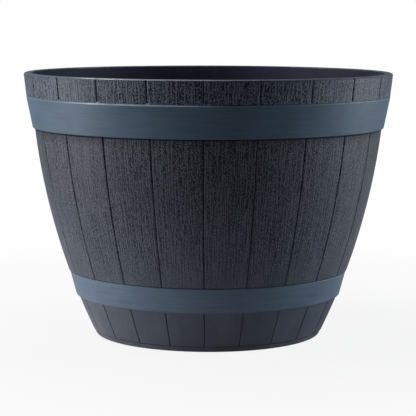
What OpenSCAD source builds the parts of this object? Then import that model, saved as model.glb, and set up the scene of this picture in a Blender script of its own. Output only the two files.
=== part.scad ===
// Half-barrel planter: a moulded shell with stave grooves, two band hoops snapped on
// from the narrow end, and rubber stoppers in the drain holes.
// Millimetres, +Z up, front along -Y, origin at the centre of the footprint.

/* [Barrel] */
// Height from the ground to the top of the rim
barrel_h = 371; // [330:1:420]
// Outer diameter at the rim
rim_d = 520; // [480:1:570]
// Diameter of the stave curve where it reaches the ground
base_d = 320; // [290:1:350]
// Radius of the bow of the staves, seen from the side
stave_bow_r = 926; // [760:1:1300]
// Thickness of the moulded wall
wall_t = 5; // [4:0.1:6]

/* [Rim and collar] */
// How far the rim stands out beyond the stave curve
collar_t = 9.2; // [7:0.1:11]
// Height of the thick collar above the upper hoop
collar_h = 32; // [24:0.5:40]
// How far the collar draws in from the rim down to the upper hoop
collar_taper = 3.4; // [2:0.1:5]
// Width of the rim, from its outer edge to the mouth
rim_w = 11; // [9:0.1:12]
// Radius of the rim's outer corner
rim_round = 3; // [1.5:0.1:4]
// Radius of the rim's inner corner
mouth_round = 1.2; // [0.6:0.1:2]
// How far the mouth draws in down to the level of the upper hoop
mouth_draft = 1.5; // [0.5:0.1:2.5]

/* [Stave grooves] */
// Number of staves moulded round the barrel
stave_count = 22; // [16:1:28]
// Turn of the groove nearest the front, positive to the right
stave_turn = -1.4; // [-8:0.1:8]
// Width of a groove at the surface
groove_w = 2.2; // [1.2:0.1:3]
// Depth of a groove
groove_depth = 1.8; // [1:0.1:2.2]
// Plain margin between a groove's lower end and the foot strip
groove_end = 0.5; // [0.3:0.1:2]
// Width of the notch that the collar's stave corners leave above the upper hoop
notch_w = 7; // [4:0.1:10]
// Height of that notch
notch_h = 2; // [1:0.1:3]

/* [Hoops] */
// Thickness of both bands
hoop_t = 3; // [2.5:0.1:3.5]
// Height of the upper band
upper_hoop_h = 45; // [38:0.5:52]
// How far the upper band stands out from the collar above it
upper_hoop_proud = 0.4; // [0.2:0.1:0.8]
// Height of the lower band
lower_hoop_h = 35; // [28:0.5:42]
// Height of the lower band's bottom edge above the ground
lower_hoop_z = 57.7; // [50:0.1:70]
// How far the lower band's top edge lies below the stave surface
lower_hoop_sink = 1; // [0.5:0.1:1.5]
// Radius of the lower outer edge of both bands
hoop_round = 1.6; // [0.8:0.1:2]
// Bevel of the upper outer edge of both bands
hoop_bevel = 0.5; // [0.3:0.1:0.8]
// Clearance between a band and its seat
hoop_fit = 0.1; // [0.05:0.01:0.2]
// How far a band's seat lies below the stave surface at the band's lower edge
seat_sink = 0.2; // [0.1:0.05:0.4]
// How far the bead that holds a band up stands out
bead_t = 0.6; // [0.4:0.1:0.8]
// Height of the bead's lead-in slope, half of it below the surface
bead_h = 4; // [3:0.1:5]

/* [Foot and floor] */
// Height of the plain strip below the staves
foot_h = 7.5; // [6:0.1:10]
// How far the plain strip steps in from the staves
foot_step = 0.6; // [0.3:0.1:1]
// Radius of the corner that meets the ground
foot_round = 3; // [2:0.1:4]
// Width of the foot ring at the ground, with its rounded corner
foot_w = 8; // [6:0.1:10]
// Depth of the recess under the floor
recess_h = 9; // [7:0.1:12]
// Thickness of the floor
floor_t = 5; // [4:0.1:7]
// Radius between the floor and the wall, inside
cavity_round = 12; // [6:0.5:20]
// Number of radial ribs under the floor
rib_count = 8; // [4:4:8]
// Thickness of a rib
rib_t = 3; // [2:0.1:4]
// Radius of the ring rib that joins the outer drain bosses
ring_rib_r = 100; // [85:1:115]
// Gap between the ribs and the ground
rib_gap = 2; // [1.5:0.1:3]

/* [Drain holes and stoppers] */
// Diameter of a drain hole
drain_d = 16; // [12:0.5:20]
// How far the boss under a drain hole reaches beyond the flange's recess
boss_wall = 1.5; // [1:0.1:3]
// Radial clearance of a stopper in its hole
stopper_fit = 0.05; // [0.02:0.01:0.1]
// Width of a stopper's flange beyond the hole
flange_lap = 5; // [3:0.1:7]
// Thickness of a stopper's flange, which lies flush in the floor
flange_t = 3; // [2:0.1:4]
// Gap round a stopper's flange in its recess
flange_gap = 0.5; // [0.3:0.1:1]
// Bevel of a stopper's flange
flange_bevel = 0.8; // [0.4:0.1:1.2]
// How far a stopper's stem ends short of the boss's lower end
stem_short = 1; // [0.5:0.1:2]
// Lead-in at the stem's end
stem_lead = 1.5; // [0.8:0.1:2.5]
// Height of the pull tab above the flange
tab_h = 11; // [8:0.5:14]
// Width of the pull tab
tab_w = 15; // [11:0.5:18]
// Thickness of the pull tab
tab_t = 4; // [3:0.1:5]

/* [Hidden] */

shell_colour = [0.17, 0.18, 0.20];
hoop_colour = [0.27, 0.32, 0.38];
rubber_colour = [0.06, 0.06, 0.07];

// Facets round the barrel, a whole number to each stave
round_fn = stave_count * 8;
bow_fn = 720;
corner_fn = 48;
bore_fn = 48;
// Overrun of a cutter past the surface that it cuts
over = 1;
// Direction of the front, as an angle from +X
front_azimuth = -90;

rim_r = rim_d / 2;
base_r = base_d / 2;
mouth_r = rim_r - rim_w;
foot_bore_r = base_r - foot_step - foot_w;

upper_top_z = barrel_h - collar_h;
upper_bottom_z = upper_top_z - upper_hoop_h;
lower_top_z = lower_hoop_z + lower_hoop_h;
floor_z = recess_h + floor_t;
flange_z = floor_z - flange_t;
flange_r = drain_d / 2 + flange_lap;
flange_recess_r = flange_r + flange_gap;
boss_r = flange_recess_r + boss_wall;

// The bow is one arc, through the base circle at the ground and a circle collar_t inside
// the rim at the top. Its centre lies across the axis, above the rim.
bow_chord = [rim_r - collar_t - base_r, barrel_h];
bow_reach = sqrt(pow(stave_bow_r, 2) - pow(norm(bow_chord) / 2, 2));
bow_centre = [
    base_r + bow_chord.x / 2 - bow_reach * bow_chord.y / norm(bow_chord),
    bow_chord.y / 2 + bow_reach * bow_chord.x / norm(bow_chord)
];

// Radius of the barrel at height z, on the bow or inset square to it
function bow_radius(z, inset = 0) =
    bow_centre.x + sqrt(pow(stave_bow_r - inset, 2) - pow(z - bow_centre.y, 2));

// Angle of height z along the bow, about the bow's centre
function bow_angle(z) = asin((z - bow_centre.y) / stave_bow_r);

// Centre of a corner of radius r that touches level z and the bow from inside
function corner_centre(z, r, inset) = [
    bow_centre.x + sqrt(pow(stave_bow_r - inset - r, 2) - pow(z + r - bow_centre.y, 2)),
    z + r
];

// Points of an arc of radius r about c
function arc_points(c, r, start, end, steps) =
    [for (i = [0:steps]) let (a = start + (end - start) * i / steps) c + r * [cos(a), sin(a)]];

// A seat is the pair of radii, at its foot and at its top, of the cone that a band sits on
collar_low_r = rim_r - collar_taper;
upper_seat = [
    bow_radius(upper_bottom_z) - seat_sink,
    collar_low_r + upper_hoop_proud - hoop_t - hoop_fit
];
lower_seat = [
    bow_radius(lower_hoop_z) - seat_sink,
    bow_radius(lower_top_z) - lower_hoop_sink - hoop_t - hoop_fit
];

// Everything inside the bow between two levels
module bow_slice(z_low, z_high) {
    intersection() {
        translate(bow_centre) circle(r = stave_bow_r, $fn = bow_fn);
        translate([0, z_low]) square([rim_d, z_high - z_low]);
    }
}

// Everything inside the inset bow and above level z, with a rounded bottom corner
module rounded_bow(z, corner_r, inset) {
    corner = corner_centre(z, corner_r, inset);
    outward = (corner - bow_centre) / norm(corner - bow_centre);
    reach = corner + (corner_r + over) * outward;
    intersection() {
        translate(bow_centre) circle(r = stave_bow_r - inset, $fn = bow_fn);
        polygon([
            [0, corner.y], corner, reach, [rim_d, reach.y],
            [rim_d, barrel_h], [0, barrel_h]
        ]);
    }
    translate(corner) circle(r = corner_r, $fn = corner_fn);
    translate([0, z]) square([corner.x, corner_r]);
}

// Material beyond the bow: the collar, and under it what the upper band's seat is cut from
module collar_section() {
    polygon([
        [upper_seat[0] - wall_t, upper_bottom_z + over],
        [collar_low_r, upper_bottom_z + over],
        [collar_low_r, upper_top_z],
        [rim_r, barrel_h - rim_round],
        [rim_r, barrel_h],
        [mouth_r - over, barrel_h]
    ]);
}

// The bead that a band snaps over, just under the band's bottom edge at level z. The seat's
// cut trims its upper end.
module bead_section(z) {
    polygon([
        [bow_radius(z - bead_h) - over, z - bead_h],
        [bow_radius(z - bead_h) - bead_t, z - bead_h],
        [bow_radius(z) + bead_t, z],
        [bow_radius(z) + bead_t, z + over],
        [bow_radius(z) - over, z + over]
    ]);
}

// The space that a band fills, from its seat outwards
module seat_cut(seat, z, h) {
    polygon([[seat[0], z], [seat[1], z + h], [rim_d, z + h], [rim_d, z]]);
}

// What a rounded corner leaves over, for a corner that is rounded about the origin
module corner_waste(r) {
    difference() {
        square(r + over);
        circle(r = r, $fn = corner_fn);
    }
}

// The planting space, from the floor to the mouth
module cavity_section() {
    difference() {
        rounded_bow(floor_z, cavity_round, wall_t);
        // Behind the sunk lower band the wall steps inwards
        seat_cut([lower_seat[0] - wall_t, lower_seat[1] - wall_t], lower_hoop_z, lower_hoop_h);
    }
    // Behind the upper band and the collar the wall follows the outside
    polygon([
        [0, upper_bottom_z - wall_t],
        [bow_radius(upper_bottom_z, wall_t), upper_bottom_z],
        [mouth_r - mouth_draft, upper_top_z],
        [mouth_r, barrel_h - mouth_round],
        [mouth_r, barrel_h + over],
        [0, barrel_h + over]
    ]);
}

// Half of the shell's section, which turns about the axis to make the shell
module shell_section() {
    difference() {
        union() {
            rounded_bow(0, foot_round, foot_step);
            bow_slice(foot_h, barrel_h);
            collar_section();
            bead_section(upper_bottom_z);
            bead_section(lower_hoop_z);
        }
        cavity_section();
        seat_cut(upper_seat, upper_bottom_z, upper_hoop_h);
        seat_cut(lower_seat, lower_hoop_z, lower_hoop_h);
        translate([rim_r - rim_round, barrel_h - rim_round]) corner_waste(rim_round);
        translate([mouth_r + mouth_round, barrel_h - mouth_round])
            mirror([1, 0]) corner_waste(mouth_round);
        translate([-over, -over]) square([foot_bore_r + over, recess_h + over]);
    }
}

// Section of a groove, pointing inwards from a surface at x = 0
module groove_section() {
    mouth = groove_w / 2 * (groove_depth + over) / groove_depth;
    polygon([[-groove_depth, 0], [over, -mouth], [over, mouth]]);
}

// One groove that follows the bow from z_low to z_high, swept about the bow's own centre
module bow_groove(z_low, z_high) {
    translate([bow_centre.x, 0, bow_centre.y])
        rotate([90, 0, 0])
            rotate([0, 0, bow_angle(z_low)])
                rotate_extrude(angle = bow_angle(z_high) - bow_angle(z_low), $fn = bow_fn)
                    translate([stave_bow_r, 0]) groove_section();
}

// One straight groove down the collar, open at the rim's outer corner. At its foot the
// corners of the two staves are cut away, which bares a little of the band's top edge.
module collar_groove() {
    lean = atan2(collar_taper, collar_h - rim_round);
    translate([collar_low_r, 0, upper_top_z]) {
        rotate([0, lean, 0])
            linear_extrude(collar_h + over) groove_section();
        translate([-groove_depth, 0, 0])
            rotate([90, 0, 90])
                linear_extrude(groove_depth + over)
                    polygon([[-notch_w / 2, 0], [notch_w / 2, 0], [0, notch_h]]);
    }
}

// Repeats a groove between every two staves
module at_grooves() {
    for (i = [0:stave_count - 1])
        rotate([0, 0, front_azimuth + stave_turn + i * 360 / stave_count]) children();
}

// The grooves between the staves. They pass under the lower band, where they run out on
// its seat, and end just above the plain foot strip.
module stave_grooves() {
    at_grooves() {
        bow_groove(foot_h + groove_end, upper_bottom_z + over);
        collar_groove();
    }
}

// Places a copy at each drain hole: one at the centre and four round it
module at_drains() {
    children();
    for (azimuth = [0:90:270])
        rotate([0, 0, azimuth]) translate([ring_rib_r, 0, 0]) children();
}

// Ribs and drain bosses under the floor
module floor_ribs() {
    rib_top = recess_h + over;
    rib_start = (drain_d / 2 + boss_r) / 2;
    translate([0, 0, rib_gap])
        rotate_extrude($fn = round_fn)
            translate([ring_rib_r - rib_t / 2, 0]) square([rib_t, rib_top - rib_gap]);
    for (i = [0:rib_count - 1])
        rotate([0, 0, (i + 0.5) * 360 / rib_count])
            translate([rib_start, -rib_t / 2, rib_gap])
                cube([foot_bore_r + over - rib_start, rib_t, rib_top - rib_gap]);
    at_drains()
        translate([0, 0, rib_gap])
            cylinder(r = boss_r, h = rib_top - rib_gap, $fn = bore_fn);
}

// A drain hole with the recess round it that takes the stopper's flange
module drain_cut() {
    translate([0, 0, rib_gap - over])
        cylinder(d = drain_d, h = flange_z - rib_gap + 2 * over, $fn = bore_fn);
    translate([0, 0, flange_z])
        cylinder(r = flange_recess_r, h = flange_t + over, $fn = bore_fn);
}

// The moulded body: staves, collar, floor and foot in one piece
module barrel_shell() {
    color(shell_colour)
        difference() {
            union() {
                rotate_extrude($fn = round_fn) shell_section();
                floor_ribs();
            }
            stave_grooves();
            at_drains() drain_cut();
        }
}

// A conical band on its seat, with a rounded lower edge and a bevelled upper one
module hoop_band(seat, z, h) {
    inner = [seat[0] + hoop_fit, seat[1] + hoop_fit];
    lean = atan2(seat[1] - seat[0], h);
    edge_centre = [
        inner[0] + hoop_t + hoop_round * (tan(lean) - 1 / cos(lean)),
        z + hoop_round
    ];
    rotate_extrude($fn = round_fn)
        polygon(concat(
            [[inner[1], z + h], [inner[0], z]],
            arc_points(edge_centre, hoop_round, -90, -lean, 6),
            [
                [inner[1] + hoop_t - hoop_bevel * tan(lean), z + h - hoop_bevel],
                [inner[1] + hoop_t - hoop_bevel, z + h]
            ]
        ));
}

module upper_hoop() {
    color(hoop_colour) hoop_band(upper_seat, upper_bottom_z, upper_hoop_h);
}

module lower_hoop() {
    color(hoop_colour) hoop_band(lower_seat, lower_hoop_z, lower_hoop_h);
}

// A rubber stopper: a flange that lies flush in the floor, a stem in the hole and a pull tab
module stopper() {
    stem_r = drain_d / 2 - stopper_fit;
    stem_end_z = rib_gap + stem_short;
    color(rubber_colour) {
        rotate_extrude($fn = bore_fn)
            polygon([
                [0, stem_end_z],
                [stem_r - stem_lead / 2, stem_end_z],
                [stem_r, stem_end_z + stem_lead],
                [stem_r, flange_z],
                [flange_r, flange_z],
                [flange_r, floor_z - flange_bevel],
                [flange_r - flange_bevel, floor_z],
                [0, floor_z]
            ]);
        translate([0, 0, floor_z])
            rotate([90, 0, 0])
                linear_extrude(tab_t, center = true) {
                    translate([0, tab_h - tab_w / 2]) circle(d = tab_w, $fn = corner_fn);
                    translate([-tab_w / 2, -over]) square([tab_w, tab_h - tab_w / 2 + over]);
                }
    }
}

// The stopper of the outer drain hole at this angle from +X
module outer_stopper(azimuth) {
    rotate([0, 0, azimuth]) translate([ring_rib_r, 0, 0]) stopper();
}

module drain_plug_centre() stopper();
module drain_plug_front() outer_stopper(front_azimuth);
module drain_plug_right() outer_stopper(front_azimuth + 90);
module drain_plug_rear() outer_stopper(front_azimuth + 180);
module drain_plug_left() outer_stopper(front_azimuth + 270);

barrel_shell();
upper_hoop();
lower_hoop();
drain_plug_centre();
drain_plug_front();
drain_plug_right();
drain_plug_rear();
drain_plug_left();
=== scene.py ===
"""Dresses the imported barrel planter: moulded staves, two bands, drain stoppers, a plain studio.

Lengths of the pieces are in millimetres, as on a drawing, and MM turns them into metres. Heights
in the finishes and places in the studio are in metres.
"""

import sys
import logging
import math
from dataclasses import dataclass
from enum import Enum
from functools import partialmethod
from typing import Callable, Mapping, Union

import bmesh
import bpy
from mathutils import Matrix, Vector


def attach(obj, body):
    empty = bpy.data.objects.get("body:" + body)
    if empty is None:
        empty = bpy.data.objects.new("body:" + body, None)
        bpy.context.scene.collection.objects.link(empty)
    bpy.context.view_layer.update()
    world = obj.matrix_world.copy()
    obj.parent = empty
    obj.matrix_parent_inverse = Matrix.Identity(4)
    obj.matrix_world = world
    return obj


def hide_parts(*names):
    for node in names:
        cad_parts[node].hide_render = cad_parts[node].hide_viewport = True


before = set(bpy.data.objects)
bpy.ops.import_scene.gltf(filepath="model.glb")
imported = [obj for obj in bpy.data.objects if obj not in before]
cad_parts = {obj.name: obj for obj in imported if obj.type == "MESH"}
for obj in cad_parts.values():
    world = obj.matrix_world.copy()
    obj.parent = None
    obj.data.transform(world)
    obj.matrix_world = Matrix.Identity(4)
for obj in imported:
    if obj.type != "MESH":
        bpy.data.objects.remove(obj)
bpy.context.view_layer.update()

MM = 0.001
PER_METRE = 1000.0
FRONT_AZIMUTH = -90.0
MERGE = 0.01
CORNER_MERGE = 0.005
SHARP_ANGLE = 50.0
ORIGIN = (0, 0, 0)
WHITE = (1.0, 1.0, 1.0)
LOG = logging.getLogger("barrel_planter")

Point = tuple[float, float]
Colour = tuple[float, float, float]
Ramp = tuple[float, float, float, float]
Piece = bpy.types.Object
Material = bpy.types.Material
Node = bpy.types.Node
Socket = bpy.types.NodeSocket
Sockets = Mapping[str, Socket]
Value = Union[Socket, float, tuple[float, ...], None]


class Slot(Enum):
    """Material slots of the record."""

    SHELL = "shell_resin"
    HOOP = "hoop_resin"
    STOPPER = "stopper_rubber"


class Body(Enum):
    """Bodies of the frame that the pieces ride on."""

    ROOT = "root"
    CENTRE = "stopper_centre"
    FRONT = "stopper_front"
    RIGHT = "stopper_right"
    REAR = "stopper_rear"
    LEFT = "stopper_left"


class Pick(Enum):
    """What is picked in edit mode."""

    POINTS = "VERT"
    EDGES = "EDGE"
    FACES = "FACE"


class Join(Enum):
    """How one solid works on another."""

    ADD = "UNION"
    CUT = "DIFFERENCE"


# ---------------------------------------------------------------- the workbench


def clear() -> None:
    """Leaves edit mode and deselects every object."""
    if bpy.context.object and bpy.context.object.mode != "OBJECT":
        bpy.ops.object.mode_set(mode="OBJECT")
    bpy.ops.object.select_all(action="DESELECT")


def focus(obj: Piece) -> None:
    """Selects one piece alone and makes it the active one.

    Args:
        obj: The piece.
    """
    clear()
    obj.select_set(True)
    bpy.context.view_layer.objects.active = obj


def settle(obj: Piece) -> None:
    """Puts a piece's place, turn and size into its mesh."""
    focus(obj)
    bpy.ops.object.transform_apply(location=True, rotation=True, scale=True)


def open_new(name: str) -> Piece:
    """Names the primitive just added and opens it for editing.

    Args:
        name: Name of the new piece.

    Returns:
        The piece, in edit mode with everything selected.
    """
    obj = bpy.context.object
    obj.name = obj.data.name = name
    settle(obj)
    bpy.ops.object.mode_set(mode="EDIT")
    bpy.ops.mesh.select_mode(type="VERT")
    bpy.ops.mesh.select_all(action="SELECT")
    return obj


def pick(obj: Piece, kind: Pick, test: Callable[[object], bool]) -> int:
    """Selects the points, edges or faces of a piece in edit mode that a test wants.

    Args:
        obj: The piece being edited.
        kind: What is picked.
        test: Says of one of them whether it is wanted.

    Returns:
        How many are selected.
    """
    mesh = bmesh.from_edit_mesh(obj.data)
    bpy.ops.mesh.select_mode(type=kind.value)
    bpy.ops.mesh.select_all(action="DESELECT")
    if kind is Pick.FACES:
        mesh.normal_update()
    parts = {Pick.POINTS: mesh.verts, Pick.EDGES: mesh.edges, Pick.FACES: mesh.faces}[kind]
    wanted = [part for part in parts if test(part)]
    for part in wanted:
        part.select = True
    mesh.select_flush_mode()
    bmesh.update_edit_mesh(obj.data)
    return len(wanted)


def trace(name: str, outline: list[Point], azimuth: float = FRONT_AZIMUTH) -> Piece:
    """Draws a closed outline in an upright plane, one extruded corner after another.

    Args:
        name: Name of the new piece.
        outline: Radius and height of each corner.
        azimuth: Angle of the plane from +X in degrees.

    Returns:
        The piece, in edit mode with the whole outline selected.
    """
    across = Vector((math.cos(math.radians(azimuth)), math.sin(math.radians(azimuth)), 0.0))
    places = [(across * r + Vector((0.0, 0.0, z))) * MM for r, z in outline]
    clear()
    bpy.ops.mesh.primitive_plane_add(size=MM, location=places[0])
    obj = open_new(name)
    bpy.ops.mesh.merge(type="CENTER")
    for here, there in zip(places, places[1:] + places[:1]):
        bpy.ops.mesh.extrude_region_move(TRANSFORM_OT_translate={"value": there - here})
    bpy.ops.mesh.select_all(action="SELECT")
    bpy.ops.mesh.remove_doubles(threshold=CORNER_MERGE * MM)
    return obj


def turn_out() -> None:
    """Merges the points that meet, and turns every face outwards."""
    bpy.ops.mesh.select_all(action="SELECT")
    bpy.ops.mesh.remove_doubles(threshold=MERGE * MM)
    bpy.ops.mesh.normals_make_consistent(inside=False)


def spin(steps: int, angle: float) -> None:
    """Spins what is selected round the barrel's axis, by an angle in radians."""
    bpy.ops.mesh.spin(steps=steps, angle=angle, center=ORIGIN, axis=(0, 0, 1))


def lathe(facets: int) -> None:
    """Spins the selected outline once round into a closed ring."""
    spin(facets, math.tau)
    turn_out()


def shade_smooth(obj: Piece, angle: float) -> None:
    """Shades a piece smooth up to an angle in degrees."""
    focus(obj)
    bpy.ops.object.shade_smooth_by_angle(angle=math.radians(angle))


def combine(obj: Piece, tool: Piece, how: Join) -> None:
    """Adds or cuts one solid with another by an applied boolean.

    Args:
        obj: The solid that stays.
        tool: The solid that is used up.
        how: Whether it is added or cut away.
    """
    focus(obj)
    boolean = obj.modifiers.new(how.name, "BOOLEAN")
    boolean.operation = how.value
    boolean.solver = "MANIFOLD"
    boolean.object = tool
    bpy.ops.object.modifier_apply(modifier=boolean.name)
    bpy.data.objects.remove(tool)


def round_edges(obj: Piece, width: float, segments: int) -> None:
    """Rounds every sharp edge with an applied bevel.

    Args:
        obj: The piece.
        width: Width of the bevel.
        segments: Facets across it.
    """
    focus(obj)
    bevel = obj.modifiers.new("rounded edges", "BEVEL")
    bevel.width = width * MM
    bevel.segments = segments
    bevel.limit_method = "ANGLE"
    bevel.angle_limit = math.radians(SHARP_ANGLE)
    bpy.ops.object.modifier_apply(modifier=bevel.name)


def drum(
    name: str, radius: float, low: float, high: float, at: Point = (0, 0), facets: int = 64
) -> Piece:
    """Adds an upright drum.

    Args:
        name: Name of the drum.
        radius: Its radius.
        low: Height of its foot.
        high: Height of its top.
        at: Its centre on the plan.
        facets: Facets round it.

    Returns:
        The drum.
    """
    clear()
    bpy.ops.mesh.primitive_cylinder_add(
        vertices=facets,
        radius=radius * MM,
        depth=(high - low) * MM,
        location=(at[0] * MM, at[1] * MM, (low + high) / 2 * MM),
    )
    obj = open_new(name)
    clear()
    return obj


def board(name: str, half: float, thickness: float, low: float, high: float) -> Piece:
    """Adds an upright board across the axis.

    Args:
        name: Name of the board.
        half: How far it reaches to each side.
        thickness: Its thickness.
        low: Height of its foot.
        high: Height of its top.

    Returns:
        The board.
    """
    least = Vector((-half, -thickness / 2, low))
    most = Vector((half, thickness / 2, high))
    clear()
    bpy.ops.mesh.primitive_cube_add(
        size=1.0, location=(least + most) / 2 * MM, scale=(most - least) * MM
    )
    obj = open_new(name)
    clear()
    return obj


# ---------------------------------------------------------------- form


@dataclass(frozen=True)
class BarrelForm:
    """The barrel's drawing: heights, radii and the one arc that its staves follow."""

    height: float = 371.0
    rim_r: float = 260.0
    base_r: float = 160.0
    bow_r: float = 926.0
    wall: float = 5.0
    collar_stand: float = 9.2
    collar_low_r: float = 256.6
    mouth_r: float = 249.0
    upper_bottom: float = 294.0
    upper_top: float = 339.0
    lower_bottom: float = 57.7
    lower_top: float = 92.7
    seat_sunk: float = 0.2
    upper_seat_top_r: float = 253.9
    lower_seat_top_sunk: float = 4.1
    floor_top: float = 14.0
    recess: float = 9.0
    drain_ring_r: float = 100.0
    staves: int = 22
    stave_turn: float = -1.4

    @property
    def bow_centre(self) -> Point:
        """Centre of the staves' arc.

        Returns:
            Its radius and height.
        """
        run, rise = self.rim_r - self.collar_stand - self.base_r, self.height
        chord = math.hypot(run, rise)
        reach = math.sqrt(self.bow_r**2 - (chord / 2) ** 2)
        return (self.base_r + run / 2 - reach * rise / chord, rise / 2 + reach * run / chord)

    def bow(self, z: float, inset: float = 0.0) -> float:
        """Radius of the staves at a height, on the surface or inset square to it."""
        r, level = self.bow_centre
        return r + math.sqrt((self.bow_r - inset) ** 2 - (z - level) ** 2)

    def corner(self, z: float, radius: float, inset: float) -> Point:
        """Centre of a round corner that touches a level and the inset bow from inside."""
        return (self.bow(z + radius, inset + radius), z + radius)

    def lean_at(self, centre: Point) -> float:
        """Angle at which the bow's normal passes a corner's centre, in degrees."""
        r, level = self.bow_centre
        return math.degrees(math.atan2(centre[1] - level, centre[0] - r))

    @property
    def upper_seat(self) -> Point:
        """Radii of the upper band's seat at its foot and top."""
        return (self.bow(self.upper_bottom) - self.seat_sunk, self.upper_seat_top_r)

    @property
    def lower_seat(self) -> Point:
        """Radii of the lower band's seat at its foot and top."""
        top = self.bow(self.lower_top) - self.lower_seat_top_sunk
        return (self.bow(self.lower_bottom) - self.seat_sunk, top)


def arc(centre: Point, radius: float, start: float, end: float, steps: int) -> list[Point]:
    """Points along an arc.

    Args:
        centre: Its centre.
        radius: Its radius.
        start: Angle of its first point in degrees.
        end: Angle of its last point.
        steps: Number of parts.

    Returns:
        The points, both ends included.
    """
    angles = [math.radians(start + (end - start) * i / steps) for i in range(steps + 1)]
    return [(centre[0] + radius * math.cos(a), centre[1] + radius * math.sin(a)) for a in angles]


def levels(low: float, high: float, spacing: float) -> list[float]:
    """Heights from low to high in equal steps near a spacing, both ends included."""
    count = max(1, round((high - low) / spacing))
    return [low + (high - low) * i / count for i in range(count + 1)]


# ---------------------------------------------------------------- finishes


class NodeKit:
    """Short hands for wiring a node tree."""

    COLUMN_SHIFT = 7.0

    def __init__(self, tree: bpy.types.NodeTree) -> None:
        """Takes the tree that the nodes go into."""
        self.tree = tree

    @classmethod
    def fresh(cls, owner: bpy.types.ID) -> "NodeKit":
        """Opens the emptied tree of a material or of a world.

        Args:
            owner: The material or the world.

        Returns:
            A kit for its tree.
        """
        owner.use_nodes = True
        owner.node_tree.nodes.clear()
        return cls(owner.node_tree)

    def feed(self, socket: Socket, value: Value) -> None:
        """Links a socket to another, or sets its own value.

        Args:
            socket: The input.
            value: A socket, a number, a colour or a vector, or None to leave the input alone.
        """
        if isinstance(value, bpy.types.NodeSocket):
            self.tree.links.new(value, socket)
        elif value is not None:
            socket.default_value = (*value, 1.0) if socket.type == "RGBA" else value

    def fill(self, node: Node, values: Mapping[object, Value]) -> None:
        """Feeds a node's inputs by name or number."""
        for key, value in values.items():
            self.feed(node.inputs[key], value)

    def add(self, kind: str, *values: Value, **settings: object) -> Node:
        """Adds a node, sets its properties and feeds its inputs in order.

        Args:
            kind: The node's type.
            values: What its first inputs get.
            settings: Values of its properties.

        Returns:
            The node.
        """
        node = self.tree.nodes.new(kind)
        for name, value in settings.items():
            setattr(node, name, value)
        self.fill(node, dict(enumerate(values)))
        return node

    def group(self, tree: bpy.types.NodeTree) -> Sockets:
        """Puts a group into the tree and returns its outputs."""
        return self.add("ShaderNodeGroup", node_tree=tree).outputs

    def object_place(self) -> Socket:
        """The place in the object's own frame, in metres."""
        return self.add("ShaderNodeTexCoord").outputs["Object"]

    def axes(self, place: Value) -> tuple[Socket, ...]:
        """Parts a place into its three lengths."""
        return tuple(self.add("ShaderNodeSeparateXYZ", place).outputs)

    def vector(self, x: Value, y: Value, z: Value) -> Socket:
        """Joins three values into a vector."""
        return self.add("ShaderNodeCombineXYZ", x, y, z).outputs[0]

    def math(self, how: str, a: Value, b: Value = None, clamp: bool = False) -> Socket:
        """Wires a math node and returns its result."""
        return self.add("ShaderNodeMath", a, b, operation=how, use_clamp=clamp).outputs[0]

    plus = partialmethod(math, "ADD")
    minus = partialmethod(math, "SUBTRACT")
    times = partialmethod(math, "MULTIPLY")
    over = partialmethod(math, "DIVIDE")
    most = partialmethod(math, "MAXIMUM")

    def swing(self, value: Value, middle: float, force: Value) -> Socket:
        """How far a value is from its middle, times a force."""
        return self.times(self.minus(value, middle), force)

    def spread(
        self, value: Value, low: float, high: float, to_low: Value = 0.0, to_high: Value = 1.0
    ) -> Socket:
        """Maps a range smoothly onto another and returns the result."""
        ends = (value, low, high, to_low, to_high)
        return self.add("ShaderNodeMapRange", *ends, interpolation_type="SMOOTHSTEP").outputs[0]

    def noise(self, place: Value, scale: float, detail: float = 2.0, rough: float = 0.5) -> Socket:
        """Wires a noise texture and returns its value.

        Args:
            place: Where it is read.
            scale: Its scale.
            detail: Its detail.
            rough: Its roughness.

        Returns:
            The noise, from nought to one.
        """
        node = self.add("ShaderNodeTexNoise")
        self.fill(node, {"Vector": place, "Scale": scale, "Detail": detail, "Roughness": rough})
        return node.outputs[0]

    def draw(self, **seed: Value) -> Socket:
        """Draws a value for a seed.

        Args:
            seed: A number W, or a pair of numbers Vector.

        Returns:
            The value, from nought to one.
        """
        kind = "1D" if "W" in seed else "2D"
        node = self.add("ShaderNodeTexWhiteNoise", noise_dimensions=kind)
        self.fill(node, seed)
        return node.outputs["Value"]

    def bars(self, x: Value, y: Value) -> Socket:
        """Fills upright columns one unit wide with bars of a value each.

        Args:
            x: Place across the columns.
            y: Place up them. Every column is shifted by a length of its own.

        Returns:
            The bar's value, from nought to one.
        """
        column = self.math("FLOOR", x)
        shift = self.times(self.draw(W=column), self.COLUMN_SHIFT)
        bar = self.math("FLOOR", self.plus(y, shift))
        return self.draw(Vector=self.vector(column, bar, 0.0))

    def crisp_bars(self, x: Value, y: Value, beside: float, above: float) -> Socket:
        """Fills columns with bars that stand out from those round them.

        Args:
            x: Place across the columns.
            y: Place up them.
            beside: Share of each bar at the side that is taken away.
            above: Share of each bar above and below that is taken away.

        Returns:
            The bar's value, one half in the mean.
        """
        value = self.plus(self.bars(x, y), beside + above)
        for step in (-1.0, 1.0):
            value = self.minus(value, self.times(self.bars(self.plus(x, step), y), beside))
            if above:
                value = self.minus(value, self.times(self.bars(x, self.plus(y, step)), above))
        return value

    def blend(self, amount: Value, a: Value, b: Value) -> Socket:
        """Mixes two colours.

        Args:
            amount: Share of the second.
            a: The first.
            b: The second.

        Returns:
            The mixed colour.
        """
        node = self.add("ShaderNodeMix", amount, data_type="RGBA")
        self.fill(node, {6: a, 7: b})
        return node.outputs[2]

    def bump(self, height: Value, distance: float, strength: float) -> Socket:
        """Wires a bump.

        Args:
            height: Its height, from nought to one.
            distance: Depth of the relief in metres.
            strength: Its strength.

        Returns:
            The bent normal.
        """
        node = self.add("ShaderNodeBump")
        self.fill(node, {"Height": height, "Distance": distance, "Strength": strength})
        return node.outputs[0]


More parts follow.
